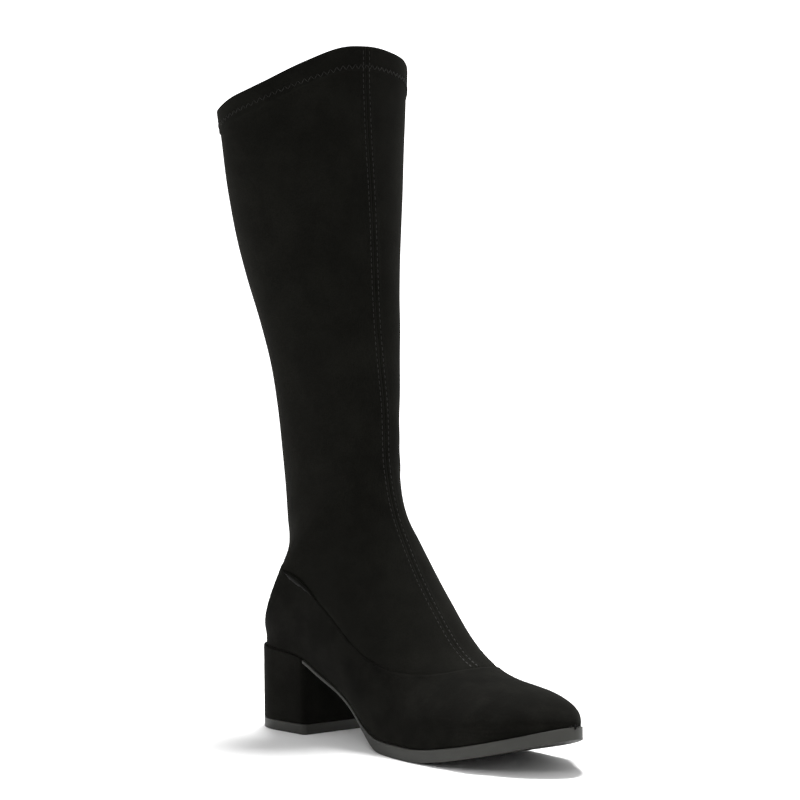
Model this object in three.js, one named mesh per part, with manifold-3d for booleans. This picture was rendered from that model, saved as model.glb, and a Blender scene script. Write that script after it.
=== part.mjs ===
// Knee-high pull-on boot for the right foot: a shoe-shaped foot part, a stretch leg sewn to its top
// line, an outsole with a thin shank, and a covered block heel.
// Millimetres. X runs from the back of the heel to the toe, Y to the wearer's left and Z up.
import * as THREE from 'three';
import { mergeVertices } from 'three/addons/utils/BufferGeometryUtils.js';
import Module from 'manifold-3d';

// Sole and heel
const soleLength = 270; // back of the heel to the tip of the toe
const ballWidth = 84;
const seatWidth = 58;
const heelHeight = 52; // floor to the heel seat, at the back
const toeSpring = 20.7; // floor to the tread, at the tip of the toe
const treadThickness = 7.6;
const shankThickness = 2;
const heelRound = 29; // length of the round back of the seat
const toeRound = 62; // length of the round of the toe
const heelLength = 58; // back of the heel to its flat front face, at the floor
const heelLean = 3.5; // how far that face leans back at the heel's top
const heelCorner = 3; // round of the upright edges beside that face
const liftThickness = 6.2;
const insoleThickness = 3;

// Foot and leg
const instepRise = 84; // scale of the foot's height over the sole
const legRise = 370; // heel seat to the peak of the collar
const collarWidth = 124;
const collarDepth = 107;
const collarDip = 39; // the collar's peak in front to its low point behind
const ankleWidth = 60;
const ankleDepth = 83;
const counterHeight = 61; // heel seat to the top of the foot part, behind
const hemDepth = 22; // depth of the folded hem below the collar's edge
const hemStep = 0.8; // the hem stands out by this much

// Walls and clearances
const footWall = 2;
const legWall = 1.5;
const footProud = 0.5; // the foot part lies over the leg by this much
const soleEdge = 1.6; // the sole and heel stand out past the foot part by this much
const clearance = 0.3; // between pieces that touch

// How the form is stepped
const widestClimb = 0.4; // share of the steps up a section that lie below its widest place
const climbSteps = 14;
const rowsPerSection = 1.5;
const skirt = 6; // how far the form reaches below the sole's top before it is cut off there
const soleSteps = 56;
const heelSteps = 26;
const sideStep = 5; // length of a step of a line seen from the side
const cavityStart = 1; // the space in the foot starts at this section behind the toe's tip
const shaftStart = 3; // the leg's form starts at this section of the foot, in front of the throat
const cutterWide = 1.1; // the block that trims the outsole at the heel is wider than it by this
const hemSection = 6; // the hem's form starts at this section of the leg, below the hem

// Outline of the sole seen from below, before its ends are rounded. Half widths on the outer and
// inner side of its line of centres, and how far that line swings to the inner side.
const outline = [
  { at: 0.0, out: 0.5 * seatWidth, inn: 0.5 * seatWidth, swing: 0 },
  { at: 0.11, out: 0.5 * seatWidth, inn: 0.5 * seatWidth, swing: 0 },
  { at: 0.2, out: 0.483 * seatWidth, inn: 0.474 * seatWidth, swing: 0 },
  { at: 0.257, out: 0.31 * ballWidth, inn: 0.292 * ballWidth, swing: 0 },
  { at: 0.32, out: 0.292 * ballWidth, inn: 0.262 * ballWidth, swing: 0 },
  { at: 0.37, out: 0.304 * ballWidth, inn: 0.256 * ballWidth, swing: 0 },
  { at: 0.43, out: 0.345 * ballWidth, inn: 0.28 * ballWidth, swing: 0 },
  { at: 0.49, out: 0.41 * ballWidth, inn: 0.328 * ballWidth, swing: 0 },
  { at: 0.55, out: 0.464 * ballWidth, inn: 0.386 * ballWidth, swing: 0 },
  { at: 0.62, out: 0.5 * ballWidth, inn: 0.446 * ballWidth, swing: 0 },
  { at: 0.7, out: 0.506 * ballWidth, inn: 0.478 * ballWidth, swing: 0 },
  { at: 0.78, out: 0.487 * ballWidth, inn: 0.455 * ballWidth, swing: 0.002 * ballWidth },
  { at: 0.86, out: 0.46 * ballWidth, inn: 0.4 * ballWidth, swing: 0.008 * ballWidth },
  { at: 0.93, out: 0.452 * ballWidth, inn: 0.35 * ballWidth, swing: 0.011 * ballWidth },
  { at: 1.0, out: 0.45 * ballWidth, inn: 0.325 * ballWidth, swing: 0.012 * ballWidth },
];

// Height of the heel seat and arch over the tread, as a share of the height at the back
const arch = [
  { at: 0.0, rise: 1.0 },
  { at: 0.11, rise: 0.962 },
  { at: 0.195, rise: 0.895 },
  { at: 0.257, rise: 0.7 },
  { at: 0.327, rise: 0.485 },
  { at: 0.368, rise: 0.338 },
  { at: 0.408, rise: 0.172 },
  { at: 0.441, rise: 0.075 },
  { at: 0.485, rise: 0.016 },
  { at: 0.53, rise: 0.0 },
  { at: 1.0, rise: 0.0 },
];
const treadBack = 0.53; // share of the sole's length where the flat tread starts
const treadFront = 0.64; // and where the toe starts to rise
const shankEnd = 0.38; // share of the sole's length where the shank starts to thicken
const springPower = 1.45;
const collarPower = 2.6;

// Sections of the foot, from the toe to the back of the heel seat. Each leans from a point of the
// sole, at, to a point of the instep, front, that is higher by rise. out and inn are its half
// widths at its widest, and widest is how high that is, as a share of its height.
const footSections = [
  { at: 1.0, front: 1.0, rise: 0.0, out: 0.0, inn: 0.0, widest: 0.3, crown: 2 },
  { at: 0.996, front: 0.993, rise: 0.055, out: 0.05, inn: 0.05, widest: 0.3, crown: 2 },
  { at: 0.982, front: 0.977, rise: 0.112, out: 0.12, inn: 0.12, widest: 0.3, crown: 2 },
  { at: 0.955, front: 0.95, rise: 0.19, out: 0.2, inn: 0.2, widest: 0.3, crown: 2 },
  { at: 0.908, front: 0.905, rise: 0.27, out: 0.3, inn: 0.3, widest: 0.3, crown: 2 },
  { at: 0.835, front: 0.823, rise: 0.36, out: 0.457, inn: 0.46, widest: 0.3, crown: 2 },
  { at: 0.739, front: 0.737, rise: 0.463, out: 0.467, inn: 0.486, widest: 0.3, crown: 2.05 },
  { at: 0.636, front: 0.675, rise: 0.559, out: 0.469, inn: 0.495, widest: 0.3, crown: 2.15 },
  { at: 0.537, front: 0.6255, rise: 0.656, out: 0.46, inn: 0.468, widest: 0.32, crown: 2.3 },
  { at: 0.438, front: 0.576, rise: 0.769, out: 0.442, inn: 0.446, widest: 0.34, crown: 2.4 },
  { at: 0.338, front: 0.5135, rise: 0.814, out: 0.422, inn: 0.441, widest: 0.36, crown: 2.4 },
  { at: 0.243, front: 0.471, rise: 0.849, out: 0.402, inn: 0.424, widest: 0.37, crown: 2.4 },
  { at: 0.154, front: 0.435, rise: 0.93, out: 0.384, inn: 0.394, widest: 0.37, crown: 2.4 },
  { at: 0.074, front: 0.414, rise: 1.039, out: 0.372, inn: 0.357, widest: 0.36, crown: 2.4 },
  { at: 0.018, front: 0.397, rise: 1.181, out: 0.381, inn: 0.347, widest: 0.36, crown: 2.4 },
  { at: 0.0, front: 0.384, rise: 1.367, out: 0.402, inn: 0.366, widest: 0.4, crown: 2.3 },
];
const footTail = 2;

// Sections of the leg, from the back of the heel seat to above the collar, in two tables. mid is
// the middle of a section's depth, and back and front are its heights over the heel seat there.
// depth and wide are shares of the ankle's sizes up to the calf, and of the collar's above it.
// crown and tail say how full a section is in front and behind: 2 is an ellipse.
const ankleSections = [
  { mid: 0.201, depth: 1.164, wide: 1.049, back: 0.038, front: 0.335, widest: 0.44, crown: 2.25, tail: 1.7 },
  { mid: 0.212, depth: 1.086, wide: 0.983, back: 0.076, front: 0.36, widest: 0.48, crown: 2.2, tail: 1.5 },
  { mid: 0.2195, depth: 1.032, wide: 0.962, back: 0.114, front: 0.381, widest: 0.5, crown: 2.2, tail: 1.4 },
  { mid: 0.2217, depth: 1.007, wide: 0.976, back: 0.149, front: 0.403, widest: 0.5, crown: 2.15, tail: 1.4 },
  { mid: 0.2197, depth: 0.998, wide: 0.995, back: 0.178, front: 0.424, widest: 0.5, crown: 2.2, tail: 1.5 },
  { mid: 0.212, depth: 1.001, wide: 1.013, back: 0.238, front: 0.459, widest: 0.5, crown: 2.5, tail: 1.45 },
  { mid: 0.2035, depth: 0.998, wide: 1.053, back: 0.305, front: 0.503, widest: 0.5, crown: 2.7, tail: 1.5 },
  { mid: 0.197, depth: 0.988, wide: 1.14, back: 0.373, front: 0.551, widest: 0.5, crown: 2.7, tail: 1.55 },
];
const calfSections = [
  { mid: 0.19, depth: 0.774, wide: 0.621, back: 0.449, front: 0.603, widest: 0.5, crown: 2.3, tail: 1.65 },
  { mid: 0.1758, depth: 0.825, wide: 0.704, back: 0.527, front: 0.662, widest: 0.5, crown: 2.05, tail: 1.8 },
  { mid: 0.1567, depth: 0.898, wide: 0.783, back: 0.603, front: 0.724, widest: 0.5, crown: 2, tail: 2 },
  { mid: 0.1414, depth: 0.942, wide: 0.853, back: 0.67, front: 0.784, widest: 0.5, crown: 2, tail: 2 },
  { mid: 0.1288, depth: 0.963, wide: 0.918, back: 0.751, front: 0.849, widest: 0.5, crown: 2, tail: 2 },
  { mid: 0.1216, depth: 0.966, wide: 0.977, back: 0.832, front: 0.927, widest: 0.5, crown: 2, tail: 2 },
  { mid: 0.1106, depth: 0.994, wide: 1.031, back: 0.93, front: 1.022, widest: 0.5, crown: 2, tail: 2 },
];
const scaled = (rows, depth, wide) =>
  rows.map((row) => ({ ...row, depth: row.depth * depth, wide: row.wide * wide }));
const legSections = [
  ...scaled(ankleSections, ankleDepth, ankleWidth),
  ...scaled(calfSections, collarDepth, collarWidth),
];
const seat = footSections.length - 1; // place of the section at the back of the seat
const lastPlace = seat + legSections.length;

// Top line of the foot part seen from the side: height over the tread's top. It starts behind at
// the top of the counter and leaves the instep in front at the throat.
const topLine = [
  { at: 0.0, rise: 1.0 },
  { at: 0.07, rise: 0.99 },
  { at: 0.184, rise: 0.866 },
  { at: 0.3125, rise: 0.687 },
  { at: 0.434, rise: 0.497 },
  { at: 0.533, rise: 0.412 },
  { at: 0.6, rise: 0.397 },
  { at: 0.655, rise: 0.407 },
  { at: 0.695, rise: 0.44 },
  { at: 0.72, rise: 0.5 },
  { at: 0.76, rise: 0.64 },
];

// Smooth value of one column between the rows of a table, at a place counted in rows
function between(rows, column, place) {
  const last = rows.length - 1;
  const i = Math.min(Math.max(Math.floor(place), 0), last - 1);
  const value = (k) => rows[Math.min(Math.max(k, 0), last)][column];
  const slopeB = (value(i + 1) - value(i - 1)) / 2;
  const slopeC = (value(i + 2) - value(i)) / 2;
  return blend(value(i), value(i + 1), slopeB, slopeC, place - i);
}

// The same, at a share that the rows give themselves in their column at
function along(rows, column, share) {
  let i = 0;
  while (i < rows.length - 2 && rows[i + 1].at < share) i += 1;
  const [b, c] = [rows[i], rows[i + 1]];
  const a = rows[Math.max(i - 1, 0)];
  const d = rows[Math.min(i + 2, rows.length - 1)];
  const span = c.at - b.at;
  const turns = (p, q, r) => (q[column] - p[column]) * (r[column] - q[column]) <= 0;
  const slopeB = turns(a, b, c) ? 0 : (span * (c[column] - a[column])) / (c.at - a.at);
  const slopeC = turns(b, c, d) ? 0 : (span * (d[column] - b[column])) / (d.at - b.at);
  const u = Math.min(Math.max((share - b.at) / span, 0), 1);
  return blend(b[column], c[column], slopeB, slopeC, u);
}

// Cubic from b to c with the given slopes
function blend(b, c, slopeB, slopeC, u) {
  const rise = c - b;
  return b + u * (slopeB + u * (3 * rise - 2 * slopeB - slopeC + u * (slopeB + slopeC - 2 * rise)));
}

// Factor from 0 to 1 that rounds the outline's ends
function roundEnds(x, inset) {
  const heel = Math.min(Math.max((heelRound - x) / (heelRound - inset), 0), 1);
  const toe = Math.min(Math.max((toeRound - soleLength + x) / (toeRound - inset), 0), 1);
  return Math.sqrt((1 - heel * heel) * (1 - toe * toe));
}

// Half width of the sole's outline, drawn in by inset
function halfWidth(x, side, inset) {
  return (along(outline, side, x / soleLength) - inset) * roundEnds(x, inset);
}

function swing(x) {
  return along(outline, 'swing', x / soleLength);
}

// Height of the face that the foot part and insole stand on
function soleTop(x) {
  const share = Math.min(Math.max(x / soleLength, 0), 1);
  const toe = Math.max((share - treadFront) / (1 - treadFront), 0);
  const heel = (heelHeight - treadThickness) * along(arch, 'rise', share);
  return treadThickness + heel + toeSpring * toe ** springPower;
}

function soleThickness(x) {
  const share = Math.min(Math.max((x / soleLength - shankEnd) / (treadBack - shankEnd), 0), 1);
  return shankThickness + (treadThickness - shankThickness) * share * share * (3 - 2 * share);
}

function topLineHeight(x) {
  const tallest = heelHeight + counterHeight - treadThickness;
  return treadThickness + tallest * along(topLine, 'rise', x / soleLength);
}

// Reach of the slabs that cut the pieces from the form
const slabStart = -collarDepth;
const slabEnd = soleLength + heelRound;

const collarBack = legSections.at(-1).mid * soleLength - collarDepth / 2;

// Height of the collar's edge
function collarHeight(x) {
  const share = Math.min(Math.max((x - collarBack) / collarDepth, 0), 1);
  return heelHeight + legRise - collarDip * (1 - share ** collarPower);
}

// One table of every section in millimetres
const sections = [
  ...footSections.map((row) => {
    const x = soleEdge + row.at * (soleLength - 2 * soleEdge);
    return {
      backX: x,
      backZ: soleTop(x),
      frontX: row.front * soleLength,
      frontZ: soleTop(x) + row.rise * instepRise,
      out: row.out * ballWidth,
      inn: row.inn * ballWidth,
      widest: row.widest,
      crown: row.crown,
      tail: footTail,
    };
  }),
  ...legSections.map((row) => ({
    backX: row.mid * soleLength - row.depth / 2,
    backZ: heelHeight + row.back * legRise,
    frontX: row.mid * soleLength + row.depth / 2,
    frontZ: heelHeight + row.front * legRise,
    out: row.wide / 2,
    inn: row.wide / 2,
    widest: row.widest,
    crown: row.crown,
    tail: row.tail,
  })),
];

// The section at a place from 0 at the toe to lastPlace above the collar. The foot's sections
// stand on the outline of the sole, and the leg's close at the back of the boot.
function sectionAt(place) {
  const value = (column) => between(sections, column, place);
  const onSole = place <= seat;
  const backX = value('backX');
  const x = onSole ? Math.min(Math.max(backX, soleEdge), soleLength - soleEdge) : backX;
  const outBase = onSole ? halfWidth(x, 'out', soleEdge) : 0;
  const innBase = onSole ? halfWidth(x, 'inn', soleEdge) : 0;
  return {
    back: new THREE.Vector2(x, onSole ? soleTop(x) : value('backZ')),
    front: new THREE.Vector2(value('frontX'), value('frontZ')),
    widest: value('widest'),
    crown: value('crown'),
    tail: value('tail'),
    swing: onSole ? swing(x) : 0,
    skirt: onSole ? skirt : 0,
    sides: {
      out: { sign: -1, base: outBase, half: Math.max(value('out'), outBase) },
      inn: { sign: 1, base: innBase, half: Math.max(value('inn'), innBase) },
    },
  };
}

// A point of a section, on its outer or inner side, at a climb from 0 at its base to 1 at its top
function pointOf(section, side, climb) {
  const { sign, base, half } = section.sides[side];
  const lower = 2 / section.tail;
  const upper = 2 / section.crown;
  const start = half > 0 ? Math.acos((base / half) ** (1 / lower)) : 0;
  let across;
  let up;
  if (climb < widestClimb) {
    const angle = start * (1 - climb / widestClimb);
    const fall = start > 0 ? Math.sin(angle) / Math.sin(start) : 1 - climb / widestClimb;
    across = half * Math.cos(angle) ** lower;
    up = section.widest * (1 - fall);
  } else {
    const angle = (Math.PI / 2) * ((climb - widestClimb) / (1 - widestClimb));
    across = climb < 1 ? half * Math.cos(angle) ** upper : 0;
    up = section.widest + (1 - section.widest) * Math.sin(angle) ** upper;
  }
  const spine = section.back.clone().lerp(section.front, up);
  return new THREE.Vector3(spine.x, section.swing + sign * across, spine.y);
}

// The points of a section in order, up its outer side and down its inner side. A short skirt
// reaches below the sole's top, to be cut off there.
function ringOf(section) {
  const outer = [];
  const inner = [];
  for (let i = 0; i <= climbSteps; i += 1) {
    outer.push(pointOf(section, 'out', i / climbSteps));
    if (i < climbSteps) inner.unshift(pointOf(section, 'inn', i / climbSteps));
  }
  const drop = new THREE.Vector3(0, 0, -section.skirt);
  return [outer[0].clone().add(drop), ...outer, ...inner, inner.at(-1).clone().add(drop)];
}

// Mesh data of the boot's form, moved out by offset, between two places
function formGeometry(offset, firstPlace, endPlace) {
  const positions = [];
  const skin = [];
  const caps = [];
  const rows = Math.round((endPlace - firstPlace) * rowsPerSection);
  for (let i = 0; i <= rows; i += 1) {
    const ring = ringOf(sectionAt(firstPlace + ((endPlace - firstPlace) * i) / rows));
    ring.forEach((point) => positions.push(...point.toArray()));
  }
  const count = positions.length / 3 / (rows + 1);
  for (let i = 0; i < rows; i += 1) {
    for (let j = 0; j < count; j += 1) {
      const [a, b] = [i * count + j, i * count + ((j + 1) % count)];
      const quad = [a, b, a + count, b, b + count, a + count];
      (j < count - 1 ? skin : caps).push(...quad);
    }
  }
  for (const [row, flip] of [[0, false], [rows, true]]) {
    for (let j = 1; j < count - 1; j += 1) {
      const fan = [row * count, row * count + j, row * count + j + 1];
      caps.push(...(flip ? fan : fan.reverse()));
    }
  }
  let geometry = new THREE.BufferGeometry();
  geometry.setAttribute('position', new THREE.Float32BufferAttribute(positions, 3));
  geometry.setIndex([...skin, ...caps]);
  geometry = mergeVertices(geometry, 0.01);
  const all = Array.from(geometry.index.array);
  geometry.setIndex(all.slice(0, skin.length));
  geometry.computeVertexNormals();
  const point = new THREE.Vector3();
  const normal = new THREE.Vector3();
  for (let i = 0; i < geometry.attributes.position.count; i += 1) {
    normal.fromBufferAttribute(geometry.attributes.normal, i);
    point.fromBufferAttribute(geometry.attributes.position, i).addScaledVector(normal, offset);
    geometry.attributes.position.setXYZ(i, point.x, point.y, point.z);
  }
  geometry.setIndex(all);
  return geometry;
}

// Solids are joined and cut on merged meshes that hold positions alone
const wasm = await Module();
wasm.setup();

function solid(geometry) {
  const bare = geometry.clone();
  bare.deleteAttribute('normal');
  bare.deleteAttribute('uv');
  const merged = mergeVertices(bare, 0.001);
  const index = merged.index.array;
  const triVerts = [];
  for (let i = 0; i < index.length; i += 3) {
    const [a, b, c] = [index[i], index[i + 1], index[i + 2]];
    if (a !== b && b !== c && c !== a) triVerts.push(a, b, c);
  }
  return new wasm.Manifold(
    new wasm.Mesh({
      numProp: 3,
      vertProperties: Float32Array.from(merged.attributes.position.array),
      triVerts: Uint32Array.from(triVerts),
    }),
  );
}

function form(offset, firstPlace = 0, endPlace = lastPlace) {
  return solid(formGeometry(offset, firstPlace, endPlace));
}

// A slab across the boot's whole width and length between two lines seen from the side
function sideSlab(low, high) {
  const points = [];
  const steps = Math.round((slabEnd - slabStart) / sideStep);
  for (let i = 0; i <= steps; i += 1) {
    const x = slabStart + ((slabEnd - slabStart) * i) / steps;
    points.push(new THREE.Vector2(x, low(x)));
    points.unshift(new THREE.Vector2(x, high(x)));
  }
  const depth = 2 * Math.max(collarWidth, ballWidth);
  const slab = new THREE.ExtrudeGeometry(new THREE.Shape(points), { depth, bevelEnabled: false });
  return solid(slab.translate(0, 0, -depth / 2).rotateX(Math.PI / 2));
}

// An upright block with the sole's outline between two places along it, with round corners where
// it ends in a flat face
function planBlock(from, to, corner, steps) {
  const points = [];
  for (let i = 0; i <= steps; i += 1) {
    const turn = (Math.PI * i) / steps;
    const x = from + ((to - from) * (1 - Math.cos(turn))) / 2;
    const past = Math.max(x - (to - corner), 0);
    const cut = corner - Math.sqrt(Math.max(corner * corner - past * past, 0));
    points.push(new THREE.Vector2(x, swing(x) - halfWidth(x, 'out', 0) + cut));
    points.unshift(new THREE.Vector2(x, swing(x) + halfWidth(x, 'inn', 0) - cut));
  }
  const depth = 2 * (heelHeight + toeSpring);
  const block = new THREE.ExtrudeGeometry(new THREE.Shape(points), { depth, bevelEnabled: false });
  return block.translate(0, 0, -depth / 4);
}

// The heel's block, its front face leaning back towards the top, moved forward by ahead
function heelBlock(ahead, corner) {
  const block = planBlock(0, heelLength, corner, heelSteps);
  const place = block.attributes.position;
  for (let i = 0; i < place.count; i += 1) {
    const lean = 1 - (heelLean / heelLength) * (place.getZ(i) / heelHeight);
    place.setX(i, place.getX(i) * lean + ahead);
  }
  return solid(block);
}

const hemStart = seat + hemSection;
const above = () => heelHeight + 2 * legRise;
const below = () => -toeSpring;

function buildUpper() {
  return form(footProud)
    .subtract(form(footProud - footWall, cavityStart))
    .intersect(sideSlab((x) => soleTop(x) + clearance, (x) => topLineHeight(x) - clearance / 2));
}

function buildShaft() {
  const hem = form(hemStep, hemStart).intersect(sideSlab((x) => collarHeight(x) - hemDepth, above));
  return form(0, shaftStart)
    .add(hem)
    .subtract(form(-legWall, shaftStart))
    .intersect(sideSlab((x) => topLineHeight(x) + clearance / 2, above))
    .intersect(sideSlab(below, collarHeight));
}

function buildInsole() {
  const low = (x) => soleTop(x) + clearance;
  const high = (x) => soleTop(x) + clearance + insoleThickness;
  return form(footProud - footWall - 3 * clearance, cavityStart).intersect(sideSlab(low, high));
}

function buildOutsole() {
  const underside = (x) => soleTop(x) - soleThickness(x);
  return solid(planBlock(heelLength - 2 * heelLean, soleLength, 0, soleSteps))
    .subtract(heelBlock(clearance, 0).scale([1, cutterWide, 1]))
    .intersect(sideSlab(underside, soleTop));
}

function buildHeel() {
  return heelBlock(0, heelCorner).intersect(sideSlab(() => liftThickness + clearance, soleTop));
}

function buildLift() {
  return heelBlock(0, heelCorner).intersect(sideSlab(() => 0, () => liftThickness));
}

function meshOf(name, shape, material) {
  const { vertProperties, triVerts } = shape.getMesh();
  const geometry = new THREE.BufferGeometry();
  geometry.setAttribute('position', new THREE.BufferAttribute(vertProperties, 3));
  geometry.setIndex(new THREE.BufferAttribute(triVerts, 1));
  geometry.computeVertexNormals();
  const mesh = new THREE.Mesh(geometry, material);
  mesh.name = name;
  return mesh;
}

const suede = new THREE.MeshStandardMaterial({ color: 0x1b1b18, roughness: 0.95, metalness: 0 });
const rubber = new THREE.MeshStandardMaterial({ color: 0x3b3c38, roughness: 0.6, metalness: 0 });
const board = new THREE.MeshStandardMaterial({ color: 0x2a2826, roughness: 0.9, metalness: 0 });

const boot = new THREE.Group();
boot.name = 'boot';
boot.add(
  meshOf('outsole', buildOutsole(), rubber),
  meshOf('heel_block', buildHeel(), suede),
  meshOf('heel_top_lift', buildLift(), rubber),
  meshOf('insole', buildInsole(), board),
  meshOf('upper', buildUpper(), suede),
  meshOf('shaft', buildShaft(), suede),
);

// The origin is on the floor at the middle of the boot's box
const box = new THREE.Box3().setFromObject(boot);
const centre = box.getCenter(new THREE.Vector3());
boot.position.set(-centre.x, -centre.y, -box.min.z);

export default boot;
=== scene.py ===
import math

import bmesh
import bpy
from mathutils import Matrix, Vector


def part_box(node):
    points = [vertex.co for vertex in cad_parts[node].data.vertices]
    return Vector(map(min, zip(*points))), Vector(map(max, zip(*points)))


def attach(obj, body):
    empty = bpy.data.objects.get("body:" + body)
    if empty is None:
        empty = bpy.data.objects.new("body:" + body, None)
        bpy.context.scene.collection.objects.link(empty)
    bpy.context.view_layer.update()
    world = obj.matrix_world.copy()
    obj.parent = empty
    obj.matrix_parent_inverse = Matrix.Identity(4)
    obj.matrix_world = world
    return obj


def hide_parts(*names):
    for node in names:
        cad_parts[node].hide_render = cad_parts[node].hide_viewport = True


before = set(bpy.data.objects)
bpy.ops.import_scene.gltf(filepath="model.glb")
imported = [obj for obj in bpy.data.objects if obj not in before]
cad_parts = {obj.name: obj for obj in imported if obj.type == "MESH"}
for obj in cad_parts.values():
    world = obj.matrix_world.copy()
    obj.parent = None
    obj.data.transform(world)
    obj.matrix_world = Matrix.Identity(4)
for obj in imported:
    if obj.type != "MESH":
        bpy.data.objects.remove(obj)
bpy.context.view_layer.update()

# Foot part: vamp and counter in one, stiffened black microsuede lasted over the foot's form, with
# its lower edge turned in and glued to the insole board. Its top line is sewn over the stretch leg.
MM = 0.001
WELD = 0.02
HALVINGS = 26
heel_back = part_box("heel_block")[0][0]
SOLE_LENGTH = 270.0
BALL = 84.0
SEAT = 58.0
HEEL_HEIGHT = 52.0
TOE_SPRING = 20.7
SPRING_START = 0.64
SPRING_BEND = 1.45
TREAD = 7.6
HEEL_ROUND = 29.0
TOE_ROUND = 62.0
INSTEP_RISE = 84.0
LEG_RISE = 370.0
COLLAR_WIDTH = 124.0
COLLAR_DEPTH = 107.0
COLLAR_DIP = 39.0
ANKLE_WIDTH = 60.0
ANKLE_DEPTH = 83.0
COUNTER_HEIGHT = 61.0
SOLE_EDGE = 1.6
FOOT_PROUD = 0.3
FOOT_WALL = 1.8
EDGE_ROUND = 0.6
GAP = 0.3

# Outline of the sole: place along it, half widths on the outer and inner side, swing inwards
sole_outline = [
    (0.0, 0.5 * SEAT, 0.5 * SEAT, 0.0),
    (0.11, 0.5 * SEAT, 0.5 * SEAT, 0.0),
    (0.2, 0.483 * SEAT, 0.474 * SEAT, 0.0),
    (0.257, 0.31 * BALL, 0.292 * BALL, 0.0),
    (0.32, 0.292 * BALL, 0.262 * BALL, 0.0),
    (0.37, 0.304 * BALL, 0.256 * BALL, 0.0),
    (0.43, 0.345 * BALL, 0.28 * BALL, 0.0),
    (0.49, 0.41 * BALL, 0.328 * BALL, 0.0),
    (0.55, 0.464 * BALL, 0.386 * BALL, 0.0),
    (0.62, 0.5 * BALL, 0.446 * BALL, 0.0),
    (0.7, 0.506 * BALL, 0.478 * BALL, 0.0),
    (0.78, 0.487 * BALL, 0.455 * BALL, 0.002 * BALL),
    (0.86, 0.46 * BALL, 0.4 * BALL, 0.008 * BALL),
    (0.93, 0.452 * BALL, 0.35 * BALL, 0.011 * BALL),
    (1.0, 0.45 * BALL, 0.325 * BALL, 0.012 * BALL),
]
# Height of the heel seat and arch along the sole
arch = [
    (0.0, 1.0),
    (0.11, 0.962),
    (0.195, 0.895),
    (0.257, 0.7),
    (0.327, 0.485),
    (0.368, 0.338),
    (0.408, 0.172),
    (0.441, 0.075),
    (0.485, 0.016),
    (0.53, 0.0),
    (1.0, 0.0),
]
# Height of the top line along the sole, from the top of the counter to past the throat
top_line = [
    (0.0, 1.0),
    (0.07, 0.99),
    (0.184, 0.866),
    (0.3125, 0.687),
    (0.434, 0.497),
    (0.533, 0.412),
    (0.6, 0.397),
    (0.655, 0.407),
    (0.695, 0.44),
    (0.72, 0.5),
    (0.76, 0.64),
]
# Foot sections: base, front, rise, outer and inner half width, height of the widest, crown
foot_sections = [
    (1.0, 1.0, 0.0, 0.0, 0.0, 0.3, 2.0),
    (0.996, 0.993, 0.055, 0.05, 0.05, 0.3, 2.0),
    (0.982, 0.977, 0.112, 0.12, 0.12, 0.3, 2.0),
    (0.955, 0.95, 0.19, 0.2, 0.2, 0.3, 2.0),
    (0.908, 0.905, 0.27, 0.3, 0.3, 0.3, 2.0),
    (0.835, 0.823, 0.36, 0.457, 0.46, 0.3, 2.0),
    (0.739, 0.737, 0.463, 0.467, 0.486, 0.3, 2.05),
    (0.636, 0.675, 0.559, 0.469, 0.495, 0.3, 2.15),
    (0.537, 0.6255, 0.656, 0.46, 0.468, 0.32, 2.3),
    (0.438, 0.576, 0.769, 0.442, 0.446, 0.34, 2.4),
    (0.338, 0.5135, 0.814, 0.422, 0.441, 0.36, 2.4),
    (0.243, 0.471, 0.849, 0.402, 0.424, 0.37, 2.4),
    (0.154, 0.435, 0.93, 0.384, 0.394, 0.37, 2.4),
    (0.074, 0.414, 1.039, 0.372, 0.357, 0.36, 2.4),
    (0.018, 0.397, 1.181, 0.381, 0.347, 0.36, 2.4),
    (0.0, 0.384, 1.367, 0.402, 0.366, 0.4, 2.3),
]
# Leg sections: middle, depth, width, heights behind and in front, widest, crown, tail
ankle_sections = [
    (0.201, 1.164, 1.049, 0.038, 0.335, 0.44, 2.25, 1.7),
    (0.212, 1.086, 0.983, 0.076, 0.36, 0.48, 2.2, 1.5),
    (0.2195, 1.032, 0.962, 0.114, 0.381, 0.5, 2.2, 1.4),
    (0.2217, 1.007, 0.976, 0.149, 0.403, 0.5, 2.15, 1.4),
    (0.2197, 0.998, 0.995, 0.178, 0.424, 0.5, 2.2, 1.5),
    (0.212, 1.001, 1.013, 0.238, 0.459, 0.5, 2.5, 1.45),
    (0.2035, 0.998, 1.053, 0.305, 0.503, 0.5, 2.7, 1.5),
    (0.197, 0.988, 1.14, 0.373, 0.551, 0.5, 2.7, 1.55),
]
calf_sections = [
    (0.19, 0.774, 0.621, 0.449, 0.603, 0.5, 2.3, 1.65),
    (0.1758, 0.825, 0.704, 0.527, 0.662, 0.5, 2.05, 1.8),
    (0.1567, 0.898, 0.783, 0.603, 0.724, 0.5, 2.0, 2.0),
    (0.1414, 0.942, 0.853, 0.67, 0.784, 0.5, 2.0, 2.0),
    (0.1288, 0.963, 0.918, 0.751, 0.849, 0.5, 2.0, 2.0),
    (0.1216, 0.966, 0.977, 0.832, 0.927, 0.5, 2.0, 2.0),
    (0.1106, 0.994, 1.031, 0.93, 1.022, 0.5, 2.0, 2.0),
]


def blend(b, c, slope_b, slope_c, u):
    """Cubic from b to c with the given slopes."""
    rise = c - b
    return b + u * (slope_b + u * (3 * rise - 2 * slope_b - slope_c + u * (slope_b + slope_c - 2 * rise)))


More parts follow.
